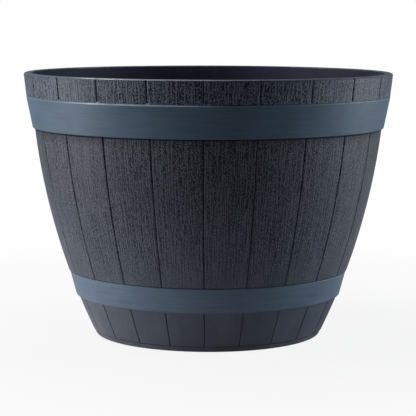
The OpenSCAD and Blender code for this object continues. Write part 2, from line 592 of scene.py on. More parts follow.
class RoundTheBarrel:
    """Shader node groups whose patterns follow the barrel: round it, up it and stave by stave."""

    ROUND_R = 0.25
    STAVE_SHIFT = 3.7
    FLECK_SHIFT = 0.37
    FIGURE_SCALE = (42.0, 8.0)
    GROOVE_SHADE_SPAN = (0.004, 0.013)
    HIGHLIGHT_AT = 0.085
    HIGHLIGHT_SPAN = (0.06, 0.125)

    def __init__(self, form: BarrelForm) -> None:
        """Makes the groups.

        Args:
            form: The drawing that the patterns are laid out on.
        """
        self.form = form
        self.place = self._place_group()
        self.grain = self._grain_group()
        self.streaks = self._streak_group()
        self.lines = self._line_group()

    @staticmethod
    def _new(
        name: str, inputs: dict[str, float], outputs: tuple[str, ...]
    ) -> tuple[NodeKit, Sockets, Node]:
        """Starts a node group.

        Args:
            name: The group's name.
            inputs: Its value inputs with their defaults.
            outputs: Its value outputs.

        Returns:
            A kit for its tree, the sockets of its inputs and its output node.
        """
        tree = bpy.data.node_groups.new(name, "ShaderNodeTree")
        new = tree.interface.new_socket
        for label, value in inputs.items():
            new(label, in_out="INPUT", socket_type="NodeSocketFloat").default_value = value
        for label in outputs:
            new(label, in_out="OUTPUT", socket_type="NodeSocketFloat")
        kit = NodeKit(tree)
        return kit, kit.add("NodeGroupInput").outputs, kit.add("NodeGroupOutput")

    def _place_group(self) -> bpy.types.NodeTree:
        """Makes the group that gives the place, the way round, the stave and the place across it.

        Returns:
            The group, with its lengths in metres.
        """
        names = ("Sideways", "Backwards", "Round", "Height", "Stave", "Across")
        kit, _, out = self._new("place_on_barrel", {}, names)
        x, y, z = kit.axes(kit.object_place())
        angle = kit.math("ARCTAN2", x, kit.times(y, -1.0))
        turned = kit.minus(angle, math.radians(self.form.stave_turn))
        count = kit.times(turned, self.form.staves / math.tau)
        round_it = kit.times(angle, self.ROUND_R)
        stave, across = kit.math("FLOOR", count), kit.math("FRACT", count)
        kit.fill(out, dict(zip(names, (x, y, round_it, z, stave, across))))
        return kit.tree

    @staticmethod
    def stretched(
        kit: NodeKit, at: Sockets, level: Value, upright: Value, shift: Value = 0.0
    ) -> Socket:
        """Scales the place, in a way that shows no seam at the back.

        Args:
            kit: Kit of the tree.
            at: Outputs of the place group.
            level: Scale in the level plane.
            upright: Scale of the height.
            shift: What is added to the scaled height.

        Returns:
            The scaled place.
        """
        height = kit.plus(kit.times(at["Height"], upright), shift)
        sides = [kit.times(at[side], level) for side in ("Sideways", "Backwards")]
        return kit.vector(*sides, height)

    def _grain_group(self) -> bpy.types.NodeTree:
        """Makes the moulded wood grain: long pores, short flecks, the tone of each stave, and
        painted shade along the grooves.

        Returns:
            The group, with its sizes in millimetres.
        """
        kit, sizes, out = self._new(
            "stave_grain",
            {"Pore Width": 1.5, "Pore Length": 24.0, "Fleck Size": 1.42, "Fleck Stretch": 1.1},
            ("Pores", "Flecks", "Figure", "Stave Tone", "Groove Shade"),
        )
        at = kit.group(self.place)

        def count(way: str, size: Value) -> Socket:
            """Place along a way, counted in a size in millimetres."""
            return kit.over(kit.times(at[way], PER_METRE), size)

        pore = (count("Round", sizes["Pore Width"]), count("Height", sizes["Pore Length"]))
        tall = kit.times(sizes["Fleck Size"], sizes["Fleck Stretch"])
        fleck_x = kit.plus(count("Round", sizes["Fleck Size"]), self.FLECK_SHIFT)
        fleck = (fleck_x, count("Height", tall))
        shift = kit.times(at["Stave"], self.STAVE_SHIFT)
        figure = self.stretched(kit, at, *self.FIGURE_SCALE, shift)
        edge = kit.math("MINIMUM", at["Across"], kit.minus(1.0, at["Across"]))
        looks = {
            "Pores": kit.crisp_bars(*pore, beside=0.3, above=0.0),
            "Flecks": kit.spread(kit.crisp_bars(*fleck, beside=0.2, above=0.12), 0.45, 1.15),
            "Figure": kit.spread(kit.noise(figure, 1.0), 0.3, 0.7),
            "Stave Tone": kit.draw(W=at["Stave"]),
            # painted shade along each stave's edges, where the grooves are
            "Groove Shade": kit.spread(edge, *self.GROOVE_SHADE_SPAN, 1.0, 0.0),
        }
        kit.fill(out, looks)
        return kit.tree

    def _streak_group(self) -> bpy.types.NodeTree:
        """Makes the level streaks and soft clouds of a smooth moulding.

        Returns:
            The group, with its sizes in millimetres.
        """
        kit, sizes, out = self._new(
            "level_streaks",
            {"Streak Height": 1.6, "Streak Length": 60.0, "Cloud Size": 38.0},
            ("Streaks", "Clouds"),
        )
        at = kit.group(self.place)
        names = ("Streak Height", "Streak Length", "Cloud Size")
        up, along, cloud = (kit.over(PER_METRE, sizes[name]) for name in names)
        streaks = kit.noise(self.stretched(kit, at, along, up), 1.0, 3.0, 0.6)
        clouds = kit.noise(self.stretched(kit, at, cloud, cloud, 4.0), 1.0)
        kit.fill(out, {0: kit.spread(streaks, 0.34, 0.66), 1: kit.spread(clouds, 0.3, 0.7)})
        return kit.tree

    def _line_group(self) -> bpy.types.NodeTree:
        """Makes the level lines: scuffed edges with painted highlights at the rim and the upper
        band, painted shade at the bands.

        Returns:
            The group.
        """
        names = ("Rim Wear And Highlight", "Band Wear And Highlight", "Painted Shade", "Band Shade")
        kit, _, out = self._new("level_lines", {}, names)
        f = self.form
        at = kit.group(self.place)
        height = kit.times(at["Height"], PER_METRE)

        def between(low: float, high: float, soft: float, full: Value = 1.0) -> Socket:
            """Wires a value that is full between two heights.

            Args:
                low: The lower height in millimetres.
                high: The upper height.
                soft: Half the height of each soft end.
                full: The full value.

            Returns:
                The value.
            """
            rise = kit.spread(height, low - soft, low + soft)
            fall = kit.spread(height, high - soft, high + soft, 1.0, 0.0)
            return kit.times(kit.times(rise, fall), full)

        # painted highlight: the scuffed edges are painted lightest at the front left
        rub = kit.noise(self.stretched(kit, at, 90.0, 300.0, 2.0), 1.0, 2.0, 0.6)
        aside = kit.math("ABSOLUTE", kit.plus(at["Sideways"], self.HIGHLIGHT_AT))
        lit_side = kit.spread(aside, *self.HIGHLIGHT_SPAN, 1.0, 0.4)
        edge_wear_and_highlight = kit.times(kit.spread(rub, 0.30, 0.62, 0.6, 1.0), lit_side)
        rim = kit.times(kit.spread(height, f.height - 1.8, f.height - 0.9), edge_wear_and_highlight)
        band = between(f.upper_top - 2.3, f.upper_top + 3.0, 0.3, kit.times(edge_wear_and_highlight, lit_side))

        # painted shade lies under and over the bands and above the foot strip, and fades out below
        # the upper band
        under = between(f.upper_bottom - 2.0, f.upper_bottom + 4.0, 0.3)
        below = between(f.upper_bottom - 9.0, f.upper_bottom + 4.0, 7.0, 0.29)
        over = between(f.lower_top - 4.0, f.lower_top + 0.9, 0.4, 0.75)
        foot = between(7.0, 8.3, 0.3, 0.7)
        painted_shade = kit.most(kit.most(under, over), kit.most(foot, below))

        # the bands' own feet are in their shade
        upper_foot = between(f.upper_bottom - 1.0, f.upper_bottom + 0.5, 0.3)
        lower_foot = between(f.lower_bottom - 1.0, f.lower_bottom + 1.0, 0.4, 0.5)
        kit.fill(out, dict(zip(names, (rim, band, painted_shade, kit.most(upper_foot, lower_foot)))))
        return kit.tree


@dataclass(frozen=True)
class Finish:
    """What all finishes have: two tones, a gloss, and a material made from their look."""

    name: str
    dark: Colour
    light: Colour
    roughness: float
    specular: float

    def look(self, kit: NodeKit, patterns: RoundTheBarrel) -> dict[str, Value]:
        """What the shader's inputs get. Every finish says its own."""
        raise NotImplementedError

    def make(self, patterns: RoundTheBarrel) -> Material:
        """Builds the material.

        Args:
            patterns: The barrel's shader node groups.

        Returns:
            The finished material.
        """
        mat = bpy.data.materials.new(self.name)
        kit = NodeKit.fresh(mat)
        shader = kit.add("ShaderNodeBsdfPrincipled")
        kit.add("ShaderNodeOutputMaterial", shader.outputs[0])
        kit.fill(shader, {"Specular IOR Level": self.specular, **self.look(kit, patterns)})
        return mat


@dataclass(frozen=True)
class Resin(Finish):
    """A resin whose edges are scuffed smoother and glossier, and painted lighter as a highlight."""

    # colour of the scuffed edges with their painted highlight
    wear_and_highlight_colour: Colour = (0.19, 0.225, 0.29)
    polish: float = 1.0
    edge_wear_and_highlight: str = "Rim Wear And Highlight"
    rub_gloss: float = 0.15
    coat_roughness: float = 0.22

    def rub(self, kit: NodeKit, wear_and_highlight: Value, colour: Value, rough: Value) -> dict[str, Value]:
        """Scuffs the edges and paints a highlight on them.

        Args:
            kit: Kit of the material's tree.
            wear_and_highlight: How far they are scuffed and painted lighter.
            colour: Colour elsewhere.
            rough: Roughness elsewhere.

        Returns:
            What the shader's inputs get, apart from the relief.
        """
        return {
            "Base Color": kit.blend(wear_and_highlight, colour, self.wear_and_highlight_colour),
            "Roughness": kit.minus(rough, kit.times(wear_and_highlight, self.rub_gloss)),
            "Coat Weight": kit.times(wear_and_highlight, self.polish),
            "Coat Roughness": self.coat_roughness,
        }


@dataclass(frozen=True)
class StaveResin(Resin):
    """Charcoal resin with the moulded grain of the staves. A ramp is two heights and two values."""

    name: str = "stave_resin"
    dark: Colour = (0.006, 0.010, 0.019)
    light: Colour = (0.129, 0.141, 0.176)
    collar_light: Colour = (0.136, 0.156, 0.206)
    # colour of the painted shade in the grooves and at the bands
    painted_shade: Colour = (0.003, 0.003, 0.004)
    roughness: float = 0.55
    specular: float = 0.25
    above_foot: Ramp = (0.0078, 0.0090, 0.0, 1.0)
    below_rim: Ramp = (0.3672, 0.3695, 1.0, 0.0)
    on_collar: Ramp = (0.334, 0.341, 0.0, 1.0)
    force_rising: Ramp = (0.02, 0.25, 0.02, 0.38)
    force_under_band: Ramp = (0.23, 0.294, 0.0, 0.80)
    force_on_collar: Ramp = (0.334, 0.341, 0.0, -0.33)
    groove_shade_ramp: Ramp = (0.04, 0.11, 0.0, 0.6)
    # painted bounce light: the staves' colour is scaled lighter towards the foot
    painted_bounce_lift: Ramp = (0.02, 0.26, 1.57, 0.79)
    light_on_collar: Ramp = (0.334, 0.341, 0.0, 0.24)
    pore_share: float = 0.45
    fleck_share: float = 0.62
    grain_mean: float = 0.35
    grain_swing: float = 5.0
    figure_swing: float = 0.10
    tone_swing: float = 0.06
    middle: float = 0.35
    rough_offset: float = -0.05
    rough_grain: float = 0.12
    rough_shade: float = 0.35
    relief: Point = (0.0004, 0.9)

    def look(self, kit: NodeKit, patterns: RoundTheBarrel) -> dict[str, Value]:
        """Mixes the grain by height, paints the foot lighter for bounced light, and paints shade
        into the grooves and round the bands.

        Args:
            kit: Kit of the material's tree.
            patterns: The barrel's shader node groups.

        Returns:
            What the shader's inputs get.
        """
        grain, lines = kit.group(patterns.grain), kit.group(patterns.lines)
        height = kit.group(patterns.place)["Height"]

        def at_height(ramp: Ramp) -> Socket:
            """A value that a ramp gives at the height."""
            return kit.spread(height, *ramp)

        # the grain grows stronger up to the upper band
        body = kit.times(at_height(self.above_foot), at_height(self.below_rim))
        force = kit.plus(at_height(self.force_rising), at_height(self.force_under_band))
        force = kit.times(kit.plus(at_height(self.force_on_collar), force), body)
        pores = kit.times(grain["Pores"], self.pore_share)
        mixed = kit.plus(pores, kit.times(grain["Flecks"], self.fleck_share))
        swing = kit.swing(mixed, self.grain_mean, kit.times(force, self.grain_swing))
        figure = kit.swing(grain["Figure"], 0.5, self.figure_swing)
        tone = kit.plus(kit.swing(grain["Stave Tone"], 0.5, self.tone_swing), self.middle)
        amount = kit.math("ADD", kit.plus(swing, figure), tone, clamp=True)

        # painted light and shade: the lower staves are painted lighter for light bounced up from
        # the floor, the collar's tone is lighter, and painted shade darkens the grooves and the
        # places at the bands and above the foot strip
        light = kit.blend(at_height(self.on_collar), self.light, self.collar_light)
        base = kit.blend(amount, self.dark, light)
        lit = kit.add("ShaderNodeVectorMath", base, operation="SCALE")
        bounce_and_collar_lift = kit.plus(at_height(self.painted_bounce_lift), at_height(self.light_on_collar))
        kit.fill(lit, {"Scale": bounce_and_collar_lift})
        # painted shade in the grooves, up the body only
        groove = kit.times(grain["Groove Shade"], kit.times(body, at_height(self.groove_shade_ramp)))
        shade = kit.most(groove, lines["Painted Shade"])
        colour = kit.blend(shade, lit.outputs[0], self.painted_shade)
        rough = kit.plus(kit.times(mixed, self.rough_grain), kit.times(shade, self.rough_shade))
        rough = kit.plus(self.roughness + self.rough_offset, rough)
        relief = kit.bump(kit.times(mixed, force), *self.relief)
        return {"Normal": relief, **self.rub(kit, lines[self.edge_wear_and_highlight], colour, rough)}


@dataclass(frozen=True)
class SmoothResin(Resin):
    """Smooth resin that shows the level streaks of its mould."""

    shaded: Colour = (0.006, 0.008, 0.011)
    shade: float = 0.85
    streak_share: float = 0.6
    rough_swing: float = 0.08
    relief: Point = (0.00006, 0.7)

    def look(self, kit: NodeKit, patterns: RoundTheBarrel) -> dict[str, Value]:
        """Mixes streaks and clouds, and darkens what is in a band's shade.

        Args:
            kit: Kit of the material's tree.
            patterns: The barrel's shader node groups.

        Returns:
            What the shader's inputs get.
        """
        drawn, lines = kit.group(patterns.streaks), kit.group(patterns.lines)
        streaks = kit.times(drawn["Streaks"], self.streak_share)
        amount = kit.plus(streaks, kit.times(drawn["Clouds"], 1.0 - self.streak_share))
        shade = kit.times(lines["Band Shade"], self.shade)
        colour = kit.blend(shade, kit.blend(amount, self.dark, self.light), self.shaded)
        least = self.roughness - self.rough_swing / 2
        rough = kit.plus(least, kit.times(amount, self.rough_swing))
        relief = kit.bump(drawn["Streaks"], *self.relief)
        return {"Normal": relief, **self.rub(kit, lines[self.edge_wear_and_highlight], colour, rough)}


@dataclass(frozen=True)
class Rubber(Finish):
    """Matte black rubber with a fine cast skin."""

    name: str = "cast_rubber"
    dark: Colour = (0.012, 0.012, 0.013)
    light: Colour = (0.030, 0.030, 0.032)
    roughness: float = 0.74
    specular: float = 0.4
    skin_scale: float = 1400.0
    bloom_scale: float = 90.0
    rough_offset: float = -0.06
    rough_bloom: float = 0.14
    relief: Point = (0.00008, 0.6)

    def look(self, kit: NodeKit, patterns: RoundTheBarrel) -> dict[str, Value]:
        """Mixes a bloom and a fine skin.

        Args:
            kit: Kit of the material's tree.
            patterns: Not used, because the skin has no direction.

        Returns:
            What the shader's inputs get.
        """
        place = kit.object_place()
        skin = kit.spread(kit.noise(place, self.skin_scale, 2.0, 0.6), 0.3, 0.7)
        bloom = kit.spread(kit.noise(place, self.bloom_scale, 3.0, 0.55), 0.35, 0.7)
        least = self.roughness + self.rough_offset
        return {
            "Base Color": kit.blend(bloom, self.dark, self.light),
            "Roughness": kit.plus(least, kit.times(bloom, self.rough_bloom)),
            "Normal": kit.bump(skin, *self.relief),
        }


# ---------------------------------------------------------------- pieces


def dress(obj: Piece, finish: Material, angle: float) -> None:
    """Gives a piece one finish and shades it smooth.

    Args:
        obj: The piece.
        finish: Its finish.
        angle: Angle up to which edges are smooth, in degrees.
    """
    obj.data.materials.clear()
    obj.data.materials.append(finish)
    shade_smooth(obj, angle)


def hand_over(obj: Piece, body: Body, node: str) -> None:
    """Gives a finished piece its body and the CAD node that it stands for.

    Args:
        obj: The piece.
        body: The body that it rides on.
        node: Name of the CAD node that it replaces.
    """
    clear()
    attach(obj, body.value)
    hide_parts(node)
    LOG.info("%s: %d faces, for %s", obj.name, len(obj.data.polygons), node)


@dataclass
class StaveWall:
    """The moulded wall: 22 staves, collar, rim, inner wall and foot ring in one skin."""

    form: BarrelForm
    finishes: tuple[Material, Material, Material]
    columns: tuple[float, ...] = (0.0, 0.45, 0.9, 1.3, 1.8, 2.8, 4.3)
    depths: tuple[float, ...] = (1.75, 1.25, 0.6, 0.15, 0.0, 0.0, 0.0)
    groove_r: float = 250.0
    groove_foot: Point = (8.0, 8.5)
    groove_foot_share: float = 0.35
    ramp_width: float = 7.0
    ramp_height: float = 2.6
    ramp_depth: float = 1.75
    plain_steps: int = 12
    row: float = 4.0
    inner_row: float = 9.0
    foot_rows: tuple[float, ...] = (7.65, 8.1, 9.2, 11.0)
    run_out_rows: tuple[float, ...] = (0.05, 0.6, 1.2, 1.9, 2.7)
    first_row: float = 15.0
    first_inner_row: float = 34.0
    foot_round: float = 3.0
    foot_step: float = 0.6
    foot_top: float = 7.5
    foot_bore_r: float = 151.4
    bead: float = 0.6
    pan_r: float = 150.4
    floor_round: float = 12.0
    rim_round: float = 3.0
    rim_flat: float = 5.5
    mouth_round: float = 1.2
    mouth_taper: float = 1.5
    column_reach: float = 0.02
    least_depth: float = 0.004
    smooth_angle: float = 42.0
    smooth_rim: float = 1.8
    smooth_foot_r: float = 157.0
    smooth_wall: float = 3.4
    smooth_collar: float = 3.0
    ramp_skin: float = 2.5
    ramp_lean: float = 0.25

    def outside(self) -> list[Point]:
        """Outline from the foot ring's bore up the outside to the rim's top.

        Returns:
            Radius and height of each corner.
        """
        f, bead, seam = self.form, self.bead, self.foot_top
        foot = f.corner(0.0, self.foot_round, self.foot_step)
        rim = (f.rim_r - self.rim_round, f.height - self.rim_round)
        line = [(self.foot_bore_r, f.recess), (self.foot_bore_r, bead)]
        line += [(self.foot_bore_r + bead, 0.0)]
        line += arc(foot, self.foot_round, -90.0, f.lean_at(foot), 6)
        line += [(f.bow(seam - 0.1, self.foot_step), seam - 0.1), (f.bow(seam) - 0.08, seam)]
        rows = [*self.foot_rows, *levels(self.first_row, f.lower_bottom - 4.0, self.row)]
        line += [(f.bow(z), z) for z in rows]
        line += [(f.bow(f.lower_bottom) + bead, f.lower_bottom), (f.lower_seat[0], f.lower_bottom)]
        line += [(f.lower_seat[1], f.lower_top), (f.bow(f.lower_top) - 0.25, f.lower_top)]
        rows = [f.lower_top + 0.3, *levels(f.lower_top + 1.5, f.upper_bottom - 4.0, self.row)]
        line += [(f.bow(z), z) for z in rows]
        line += [(f.bow(f.upper_bottom) + bead, f.upper_bottom), (f.upper_seat[0], f.upper_bottom)]
        line += [(f.upper_seat[1], f.upper_top), (f.collar_low_r - 0.5, f.upper_top)]
        rows = [f.upper_top + up for up in self.run_out_rows]
        rows += levels(f.upper_top + 5.0, rim[1] - 1.0, self.row)
        line += [(self.collar(z), z) for z in rows]
        return line + arc(rim, self.rim_round, 0.0, 90.0, 8)

    def collar(self, z: float) -> float:
        """Gives the collar's face.

        Args:
            z: The height.

        Returns:
            Its radius there.
        """
        f = self.form
        rise = f.height - self.rim_round - f.upper_top
        return f.collar_low_r + (f.rim_r - f.collar_low_r) * min(1.0, (z - f.upper_top) / rise)

    def inside(self) -> list[Point]:
        """Outline from the rim's top down the inside to the floor's edge.

        Returns:
            Radius and height of each corner.
        """
        f = self.form
        floor = f.corner(f.floor_top, self.floor_round, f.wall)
        mouth = (f.mouth_r + self.mouth_round, f.height - self.mouth_round)
        throat, waist = f.mouth_r - self.mouth_taper, f.bow(f.upper_bottom, f.wall)

        def taper(low: float, high: float, low_r: float, high_r: float, top: float) -> list[Point]:
            """Rows of a cone between two heights, from the row below its top downwards."""
            rows = reversed(levels(low, top, self.inner_row))
            return [(low_r + (high_r - low_r) * (z - low) / (high - low), z) for z in rows]

        def bowed(low: float, high: float) -> list[Point]:
            """Rows of the inset bow from a height down to another."""
            return [(f.bow(z, f.wall), z) for z in reversed(levels(low, high, self.inner_row))]

        line = [(f.rim_r - self.rim_flat, f.height)] + arc(mouth, self.mouth_round, 90.0, 180.0, 4)
        line += taper(f.upper_top, mouth[1], throat, f.mouth_r, f.height - 4.0)
        line += taper(f.upper_bottom, f.upper_top, waist, throat, f.upper_top - 8.0)
        line += bowed(f.lower_top + 1.0, f.upper_bottom - 8.0)
        line += [(f.lower_seat[1] - f.wall, f.lower_top - 0.6)]
        line += [(f.lower_seat[0] - f.wall, f.lower_bottom + 0.6)]
        line += bowed(self.first_inner_row, f.lower_bottom - 1.0)
        line += arc(floor, self.floor_round, f.lean_at(floor), -90.0, 7)
        return line + [(self.pan_r, f.floor_top), (self.pan_r, f.recess)]

    def press_grooves(self, stave: Piece, start: float) -> None:
        """Presses half a groove into both edges of the stave that is being edited.

        Args:
            stave: The stave in edit mode.
            start: Azimuth of its first edge in degrees.
        """
        pitch = 360.0 / self.form.staves
        rows = sorted({round(z, 4) for _, z in self.outside() if z > self.foot_top})
        for side in (0, 1):
            for offset, depth in zip(self.columns, self.depths):
                turn = math.degrees(offset / self.groove_r)
                azimuth = math.radians(start + turn if side == 0 else start + pitch - turn)
                inward = Vector((-math.cos(azimuth), -math.sin(azimuth), 0.0))
                aside = Vector((math.sin(azimuth), -math.cos(azimuth), 0.0))

                def on_column(co: Vector) -> bool:
                    """Says whether a vertex is on this column's outside."""
                    limit = self.outer_limit(co.z / MM) * MM
                    reach = self.column_reach * MM
                    return abs(co.dot(aside)) < reach and co.dot(inward) < -limit

                groups: dict[float, list[float]] = {}
                for z in rows:
                    amount = self.depth_at(z, offset, depth)
                    if amount > self.least_depth:
                        groups.setdefault(round(amount, 3), []).append(round(z, 1))
                for amount, wanted in groups.items():

                    def due(vert: bmesh.types.BMVert) -> bool:
                        """Says whether a vertex goes in by this amount."""
                        return round(vert.co.z / MM, 1) in wanted and on_column(vert.co)

                    if pick(stave, Pick.POINTS, due):
                        bpy.ops.transform.translate(value=inward * amount * MM)

    def outer_limit(self, z: float) -> float:
        """Parts the outside from the seats and the inside.

        Args:
            z: The height.

        Returns:
            The radius that parts them there.
        """
        f = self.form
        if z > f.upper_top - 0.01:
            return f.collar_low_r - 1.0 if z < f.height - 0.01 else f.rim_r - self.rim_round - 0.2
        return f.bow(z) - 0.15

    def depth_at(self, z: float, offset: float, depth: float) -> float:
        """Depth of a groove's column: run out at the foot, the rim and the ramp above the band.

        Args:
            z: The height.
            offset: The column's way from the groove's middle.
            depth: The column's plain depth.

        Returns:
            The depth.
        """
        if z < self.groove_foot[1]:
            return depth * self.groove_foot_share if z >= self.groove_foot[0] else 0.0
        up = z - self.form.upper_top
        if -0.1 < up < self.ramp_height:
            on_ramp = offset < self.ramp_width / 2 * (1.0 - up / self.ramp_height) + 0.5
            return self.ramp_depth * up / self.ramp_height if on_ramp else depth * min(1.0, up)
        over = z - (self.form.height - self.rim_round)
        if over > 0.0:
            rise = min(self.rim_round, over)
            surface = self.rim_round - math.sqrt(max(0.0, self.rim_round**2 - rise**2))
            return max(0.0, depth - surface)
        return depth

    def build(self) -> None:
        """Spins one stave between two grooves, presses these, and sets 22 copies side by side."""
        f = self.form
        start = FRONT_AZIMUTH + f.stave_turn
        wall = trace("stave_wall", self.outside() + self.inside(), start)
        gaps = [b - a for a, b in zip(self.columns, self.columns[1:])]
        edges = [(gap / self.groove_r, 1) for gap in gaps]
        plain = math.tau / f.staves - 2 * sum(turn for turn, _ in edges)
        for turn, steps in [*edges, (plain, self.plain_steps), *reversed(edges)]:
            spin(steps, -turn)
        self.press_grooves(wall, start)
        bpy.ops.mesh.select_all(action="SELECT")
        pitch = math.tau / f.staves
        for _ in range(f.staves - 1):
            bpy.ops.mesh.duplicate()
            bpy.ops.transform.rotate(value=pitch, orient_axis="Z", center_override=ORIGIN)
        turn_out()
        self.dress(wall)
        shade_smooth(wall, self.smooth_angle)
        hand_over(wall, Body.ROOT, "barrel_shell")

    def dress(self, wall: Piece) -> None:
        """Gives the outside its grain, the rim's top, inside and foot a smooth finish.

        Args:
            wall: The wall in edit mode.
        """
        f = self.form
        for finish in self.finishes:
            wall.data.materials.append(finish)

        def smooth_side(face: bmesh.types.BMFace) -> bool:
            """Finds the rim's top, the inside and the foot's underside.

            Args:
                face: The face.

            Returns:
                Whether it lies on one of them.
            """
            centre = face.calc_center_median() / MM
            r = math.hypot(centre.x, centre.y)
            if centre.z > f.height - 0.6:
                return r < f.rim_r - self.smooth_rim
            if centre.z <= self.foot_top:
                return r < self.smooth_foot_r
            if centre.z < f.upper_bottom:
                return r < f.bow(centre.z) - self.smooth_wall
            return r < f.mouth_r + self.smooth_collar

        def on_ramp(face: bmesh.types.BMFace) -> bool:
            """Finds the ramps at the grooves' feet above the band.

            Args:
                face: The face.

            Returns:
                Whether it is one of them.
            """
            centre = face.calc_center_median() / MM
            outside = math.hypot(centre.x, centre.y) > f.collar_low_r - self.ramp_skin
            low = 0.0 < centre.z - f.upper_top < self.ramp_height
            return low and outside and face.normal.z > self.ramp_lean

        for index, test in ((1, smooth_side), (2, on_ramp)):
            pick(wall, Pick.FACES, test)
            wall.active_material_index = index
            bpy.ops.object.material_slot_assign()


@dataclass
class FloorPan:
    """The floor with its drain holes, bosses and ribs, which are moulded with the wall."""

    form: BarrelForm
    finish: Material
    radius: float = 150.45
    drain_r: float = 8.0
    drain_flare: float = 2.5
    recess_r: float = 13.5
    recess_depth: float = 3.0
    boss_r: float = 15.0
    rib: float = 3.0
    rib_reach: float = 151.9
    rib_foot: float = 2.0
    rib_sunk: float = 1.0
    ribs: int = 8
    disc_facets: int = 176
    ring_facets: int = 144
    drain_facets: int = 64
    recess_break: float = 0.4
    overcut: float = 1.0
    edge_round: float = 0.5
    edge_facets: int = 2
    smooth_angle: float = 35.0

    def drains(self) -> list[Point]:
        """Places of the five drain holes on the plan."""
        ring, turns = self.form.drain_ring_r, (0.0, math.pi / 2, math.pi, -math.pi / 2)
        return [(0.0, 0.0)] + [(ring * math.cos(a), ring * math.sin(a)) for a in turns]

    def cutter(self, place: Point) -> Piece:
        """Spins the tool for one drain: a hole and a recess, both with broken edges.

        Args:
            place: The drain's centre on the plan.

        Returns:
            The tool.
        """
        top, hole, recess = self.form.floor_top, self.drain_r, self.recess_r
        ledge, edge, over = top - self.recess_depth, self.recess_break, self.overcut
        line = [(0.0, 0.0), (hole + self.drain_flare, 0.0), (hole, self.rib_foot + 0.5)]
        line += [(hole, ledge), (recess, ledge), (recess, top - edge)]
        line += [(recess + (edge + over), top + over), (0.0, top + over)]
        tool = trace("drain_tool", line)
        lathe(self.drain_facets)
        bpy.ops.transform.translate(value=(place[0] * MM, place[1] * MM, 0.0))
        clear()
        return tool

    def build(self) -> None:
        """Joins disc, bosses, ring and ribs with rounded edges, and cuts the drain holes."""
        f, foot, half = self.form, self.rib_foot, self.rib / 2
        top, facets = f.recess + self.rib_sunk, self.ring_facets
        pan = drum("floor_pan", self.radius, f.recess, f.floor_top, facets=self.disc_facets)
        ring = drum("ring_rib", f.drain_ring_r + half, foot, top, facets=facets)
        low, high = foot - self.overcut, top + self.overcut
        bore = drum("bore", f.drain_ring_r - half, low, high, facets=facets)
        combine(ring, bore, Join.CUT)
        parts = [ring]
        for i in range(self.ribs // 2):
            rib = board("rib", self.rib_reach, self.rib, foot, top)
            rib.rotation_euler.z = math.pi * (i + 0.5) / (self.ribs // 2)
            settle(rib)
            parts.append(rib)
        parts += [drum("boss", self.boss_r, foot, top, place) for place in self.drains()]
        for part in parts:
            round_edges(part, self.edge_round, self.edge_facets)
            combine(pan, part, Join.ADD)
        for place in self.drains():
            combine(pan, self.cutter(place), Join.CUT)
        dress(pan, self.finish, self.smooth_angle)
        hand_over(pan, Body.ROOT, "barrel_shell")


@dataclass
class Band:
    """A conical moulded hoop with a soft upper edge and a rounded lower one."""

    name: str
    node: str
    seat: Point
    bottom: float
    top: float
    finish: Material
    thickness: float = 3.0
    fit: float = 0.1
    low_round: float = 1.6
    top_round: float = 1.3
    low_break: float = 0.5
    top_break: float = 0.3
    row: float = 5.0
    facets: int = 352
    round_facets: int = 7
    smooth_angle: float = 45.0

    def outline(self) -> list[Point]:
        """Closed outline of the band.

        Returns:
            Radius and height of each corner.
        """
        low_r, top_r = self.seat[0] + self.fit, self.seat[1] + self.fit
        height = self.top - self.bottom
        tilt = math.atan2(self.seat[1] - self.seat[0], height)
        lean, slope = math.degrees(tilt), (top_r - low_r) / height
        out, back = math.tan(tilt) - 1 / math.cos(tilt), math.tan(tilt) + 1 / math.cos(tilt)
        low = (low_r + self.thickness + self.low_round * out, self.bottom + self.low_round)
        high = (top_r + self.thickness - self.top_round * back, self.top - self.top_round)
        rows = levels(low[1] + 1.0, high[1] - 1.0, self.row)
        line = [(low_r, self.bottom + self.low_break), (low_r + self.low_break, self.bottom)]
        line += arc(low, self.low_round, -90.0, -lean, self.round_facets)
        line += [(low_r + self.thickness + slope * (z - self.bottom), z) for z in rows]
        line += arc(high, self.top_round, -lean, 90.0, self.round_facets)
        return line + [(top_r + self.top_break, self.top), (top_r, self.top - self.top_break)]

    def build(self) -> None:
        """Spins the band and dresses it."""
        band = trace(self.name, self.outline())
        lathe(self.facets)
        dress(band, self.finish, self.smooth_angle)
        hand_over(band, Body.ROOT, self.node)


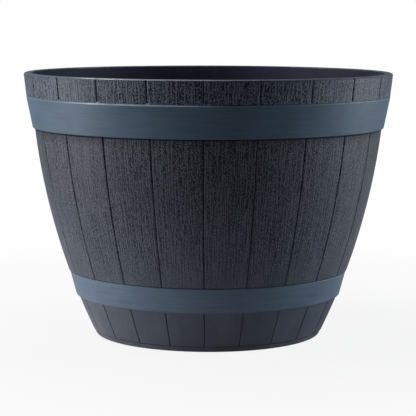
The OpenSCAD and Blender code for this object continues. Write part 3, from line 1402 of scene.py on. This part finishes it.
@dataclass
class Stoppers:
    """The five rubber stoppers, modelled once: flange, stem with a sealing lip, and pull tab.

    The lip's corners are measured from the stem's side and end, the neck's from its side and the
    flange's underside, and the ditch's from its side and the flange's top.
    """

    form: BarrelForm
    finish: Material
    stem_r: float = 7.95
    stem_end: float = 3.0
    flange_r: float = 13.0
    flange: float = 3.0
    flange_round: float = 0.8
    flange_break: float = 0.4
    lip: tuple[Point, ...] = ((-1.3, 0), (-0.7, 0.3), (-0.2, 1.2), (0, 1.9), (0, 2.6), (-0.5, 3.3))
    neck: tuple[Point, ...] = ((-0.5, -1.2), (0, -0.5), (0, 0))
    ditch: tuple[Point, ...] = ((2.0, 0), (1.4, -0.5), (0.6, -0.5), (0, 0))
    tab_width: float = 15.0
    tab_height: float = 11.0
    tab_thickness: float = 4.0
    tab_sunk: float = 1.0
    grips: int = 3
    grip_start: float = 2.2
    grip_pitch: float = 2.1
    grip: float = 0.9
    grip_margin: float = 0.25
    grip_depth: float = 0.35
    edge_round: float = 0.35
    edge_facets: int = 3
    head_facets: int = 12
    facets: int = 72
    smooth_angle: float = 40.0

    def plug(self) -> Piece:
        """Spins the flange and the stem.

        Returns:
            The plug without its tab.
        """
        top, out, edge = self.form.floor_top, self.flange_r, self.flange_round
        low = top - self.flange
        line = [(0.0, self.stem_end)]
        line += [(self.stem_r + r, self.stem_end + z) for r, z in self.lip]
        line += [(self.stem_r + r, low + z) for r, z in self.neck]
        line += [(out - self.flange_break, low), (out, low + self.flange_break)]
        line += arc((out - edge, top - edge), edge, 0.0, 90.0, 4)
        line += [(self.stem_r + r, top + z) for r, z in self.ditch]
        plug = trace(Body.CENTRE.value, line + [(0.0, top)])
        lathe(self.facets)
        return plug

    def tab(self) -> Piece:
        """Shapes the pull tab from a board: a rounded head, grip grooves and soft edges.

        Returns:
            The tab.
        """
        top, half = self.form.floor_top, self.tab_width / 2
        low, high = top - self.tab_sunk, top + self.tab_height
        tab = board("pull_tab", half, self.tab_thickness, low, high)

        def head_corner(edge: bmesh.types.BMEdge) -> bool:
            """Says whether an edge runs through the tab's thickness at its head."""
            a, b = (vert.co for vert in edge.verts)
            return abs(a.y - b.y) > MM and a.z > (top + 1.0) * MM

        focus(tab)
        bpy.ops.object.mode_set(mode="EDIT")
        pick(tab, Pick.EDGES, head_corner)
        offset = (half - 0.3) * MM
        bpy.ops.mesh.bevel(offset=offset, segments=self.head_facets, affect="EDGES")
        lows = [top + self.grip_start + i * self.grip_pitch for i in range(self.grips)]
        for level in [z for low in lows for z in (low, low + self.grip)]:
            bpy.ops.mesh.select_all(action="SELECT")
            bpy.ops.mesh.bisect(plane_co=(0.0, 0.0, level * MM), plane_no=(0.0, 0.0, 1.0))
        sunk = [low + self.grip / 2 for low in lows]

        def on_grip(face: bmesh.types.BMFace) -> bool:
            """Says whether a face of the front or the back is to be a grip groove."""
            z = face.calc_center_median().z / MM
            return abs(face.normal.y) > 0.9 and any(abs(z - middle) < 0.3 for middle in sunk)

        pick(tab, Pick.FACES, on_grip)
        bpy.ops.mesh.inset(thickness=self.grip_margin * MM, use_individual=True)
        pressed = {"value": -self.grip_depth * MM}
        bpy.ops.mesh.extrude_region_shrink_fatten(TRANSFORM_OT_shrink_fatten=pressed)
        round_edges(tab, self.edge_round, self.edge_facets)
        return tab

    def build(self) -> None:
        """Makes one stopper and copies it to the other drain holes."""
        first = self.plug()
        combine(first, self.tab(), Join.ADD)
        dress(first, self.finish, self.smooth_angle)
        made = [first]
        out = Matrix.Translation((self.form.drain_ring_r * MM, 0.0, 0.0))
        for body, azimuth in zip(list(Body)[2:], (-90.0, 0.0, 90.0, 180.0)):
            twin = first.copy()
            twin.data = first.data.copy()
            twin.name = twin.data.name = body.value
            bpy.context.scene.collection.objects.link(twin)
            twin.matrix_world = Matrix.Rotation(math.radians(azimuth), 4, "Z") @ out
            settle(twin)
            made.append(twin)
        for twin in made:
            place = twin.name.removeprefix("stopper_")
            hand_over(twin, Body(twin.name), f"drain_plug_{place}")


# ---------------------------------------------------------------- studio


@dataclass(frozen=True)
class Softbox:
    """A soft lamp that faces the barrel."""

    name: str
    azimuth: float
    elevation: float
    distance: float
    width: float
    height: float
    power: float
    colour: Colour = WHITE
    aim: float = 0.19

    def build(self) -> None:
        """Adds the lamp."""
        turn, rise = math.radians(self.azimuth), math.radians(self.elevation)
        level = Vector((math.sin(turn), -math.cos(turn), 0.0)) * math.cos(rise)
        away = level + Vector((0.0, 0.0, math.sin(rise)))
        data = bpy.data.lights.new(self.name, "AREA")
        data.shape = "RECTANGLE"
        data.size, data.size_y = self.width, self.height
        data.energy = self.power
        data.color = self.colour
        lamp = bpy.data.objects.new(self.name, data)
        bpy.context.scene.collection.objects.link(lamp)
        lamp.location = away * self.distance + Vector((0.0, 0.0, self.aim))
        lamp.rotation_euler = away.to_track_quat("Z", "Y").to_euler()
        lamp.visible_camera = False
        LOG.info("lamp %s: %.1f W", self.name, self.power)


@dataclass
class Studio:
    """Camera, white surroundings, pale floor and soft lamps, in metres."""

    camera_at: tuple[float, float, float] = (0.0, -2.4365, 0.4676)
    camera_pitch: float = -6.80
    camera_roll: float = 0.164
    lens: float = 148.60
    sensor: float = 36.0
    front_dim: float = 0.04
    dim_span: Point = (-0.55, 0.35)
    backdrop_gloss: float = 0.18
    floor_size: float = 40.0
    floor_drop: float = 0.0002
    floor_tone: Colour = (0.68, 0.68, 0.69)
    glow: float = 0.88
    glow_span: Point = (0.25, 1.1)
    behind_span: Point = (0.0, 0.5)
    foot: Point = (0.150, 0.158)
    # the pool is a glow on the floor that only glossy rays see: a painted reflection
    pool_gloss: float = 1.0
    pool_at: Point = (-0.20, -0.17)
    pool_size: Point = (0.05, 0.45)
    lamps: tuple[Softbox, ...] = (
        Softbox("left_softbox", -83.0, 8.0, 1.6, 0.8, 1.0, 19.0),
        Softbox("left_high_softbox", -85.0, 35.0, 1.6, 0.9, 0.9, 2.0),
        Softbox("left_low_softbox", -80.0, -4.0, 1.2, 0.7, 0.2, 2.2),
        Softbox("edge_softbox", -112.0, 58.0, 1.6, 0.5, 0.3, 6.5),
        Softbox("front_edge_softbox", -68.0, 62.0, 1.6, 0.2, 0.2, 2.0),
        Softbox("right_softbox", 97.0, 10.0, 1.6, 0.8, 0.8, 18.6, (0.88, 0.95, 1.0)),
        Softbox("top_softbox", 180.0, 78.0, 1.6, 1.2, 1.2, 5.0),
    )

    def place_camera(self) -> None:
        """Sets the camera where the photo was taken from."""
        data = bpy.data.cameras.new("photo_camera")
        data.lens = self.lens
        data.sensor_width = self.sensor
        camera = bpy.data.objects.new("photo_camera", data)
        bpy.context.scene.collection.objects.link(camera)
        pitch = Matrix.Rotation(math.radians(90.0 + self.camera_pitch), 4, "X")
        roll = Matrix.Rotation(math.radians(self.camera_roll), 4, "Z")
        camera.matrix_world = Matrix.Translation(self.camera_at) @ (pitch @ roll)
        bpy.context.scene.camera = camera

    @staticmethod
    def rays(kit: NodeKit) -> tuple[Socket, Socket]:
        """Tells the kinds of rays apart.

        Args:
            kit: Kit of the tree.

        Returns:
            One for rays of the camera, and one for rays that a gloss or a glass sends out.
        """
        path = kit.add("ShaderNodeLightPath").outputs
        shiny = kit.math("ADD", path["Is Glossy Ray"], path["Is Transmission Ray"], clamp=True)
        return path["Is Camera Ray"], shiny

    def light_world(self) -> None:
        """Makes surroundings that look white and show in gloss, dark behind the camera."""
        world = bpy.data.worlds.new("white_studio")
        bpy.context.scene.world = world
        kit = NodeKit.fresh(world)
        seen, shiny = self.rays(kit)
        _, backwards, _ = kit.axes(kit.add("ShaderNodeTexCoord").outputs["Generated"])
        side = kit.spread(backwards, *self.dim_span, self.front_dim, 1.0)
        gloss = kit.times(kit.times(shiny, self.backdrop_gloss), side)
        sky = kit.add("ShaderNodeBackground", WHITE, kit.most(seen, gloss))
        kit.add("ShaderNodeOutputWorld", sky.outputs[0])

    def floor_cloth(self) -> Material:
        """Makes a pale cloth that looks white but still takes the barrel's shadow.

        Returns:
            The floor's material.
        """
        mat = bpy.data.materials.new("pale_floor")
        kit = NodeKit.fresh(mat)
        camera, shiny = self.rays(kit)
        place = kit.object_place()
        off = kit.add("ShaderNodeVectorMath", place, operation="LENGTH").outputs["Value"]
        open_floor = kit.spread(off, *self.glow_span, self.glow, 1.0)
        seen = kit.times(camera, kit.times(open_floor, kit.spread(off, *self.foot)))

        # for glossy rays only, the cloth glows in a bright pool at the front left, a painted
        # reflection, and shows the backdrop behind
        pool_at = (*self.pool_at, 0.0)
        off_pool = kit.add("ShaderNodeVectorMath", place, pool_at, operation="DISTANCE")
        pool = kit.spread(off_pool.outputs["Value"], *self.pool_size, self.pool_gloss, 0.0)
        back = kit.axes(place)[1]
        behind = kit.spread(back, *self.behind_span, 0.0, self.backdrop_gloss)
        gloss = kit.times(shiny, kit.most(pool, behind))
        white = kit.math("ADD", seen, gloss, clamp=True)
        cloth = kit.add("ShaderNodeBsdfDiffuse", self.floor_tone).outputs[0]
        glow = kit.add("ShaderNodeEmission", WHITE).outputs[0]
        mix = kit.add("ShaderNodeMixShader", white, cloth, glow)
        kit.add("ShaderNodeOutputMaterial", mix.outputs[0])
        return mat

    def lay_floor(self) -> None:
        """Lays the pale floor."""
        clear()
        place = (0.0, 0.0, -self.floor_drop)
        bpy.ops.mesh.primitive_plane_add(size=self.floor_size, location=place)
        floor = open_new("studio_floor")
        bpy.ops.mesh.subdivide(number_cuts=3)
        clear()
        floor.data.materials.append(self.floor_cloth())

    def build(self) -> None:
        """Sets up the camera, the surroundings, the floor and the lamps."""
        bpy.context.scene.view_settings.view_transform = "Standard"
        self.place_camera()
        self.light_world()
        self.lay_floor()
        for lamp in self.lamps:
            lamp.build()


# ---------------------------------------------------------------- the planter

# the bands' scuffed top edges take a pale painted highlight
BAND_WEAR_AND_HIGHLIGHT = ((0.36, 0.44, 0.54), 0.3, "Band Wear And Highlight")
SMOOTH_TONES = (
    # painted light: the inside's tones are raised to stand in for light falling into the mouth
    ("inner_resin", (0.025, 0.028, 0.049), (0.043, 0.049, 0.083), 0.6, 0.15),
    ("upper_band_resin", (0.052, 0.085, 0.128), (0.073, 0.118, 0.173), 0.48, 0.22, *BAND_WEAR_AND_HIGHLIGHT),
    # the lower band is painted lighter than the upper one, for light bounced up from the floor
    ("lower_band_resin", (0.085, 0.122, 0.177), (0.118, 0.168, 0.238), 0.48, 0.26, *BAND_WEAR_AND_HIGHLIGHT),
)


def main() -> None:
    """Builds the planter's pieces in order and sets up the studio."""
    logging.basicConfig(level=logging.INFO, format="%(message)s", stream=sys.stdout)
    form = BarrelForm()
    patterns = RoundTheBarrel(form)
    stave = StaveResin().make(patterns)
    inner, upper, lower = (SmoothResin(*tone).make(patterns) for tone in SMOOTH_TONES)
    StaveWall(form, (stave, inner, upper)).build()
    FloorPan(form, inner).build()
    upper_band = (form.upper_seat, form.upper_bottom, form.upper_top, upper)
    Band("upper_band", "upper_hoop", *upper_band).build()
    lower_band = (form.lower_seat, form.lower_bottom, form.lower_top, lower)
    Band("lower_band", "lower_hoop", *lower_band).build()
    Stoppers(form, Rubber().make(patterns)).build()
    Studio().build()


if __name__ == "__main__":
    main()
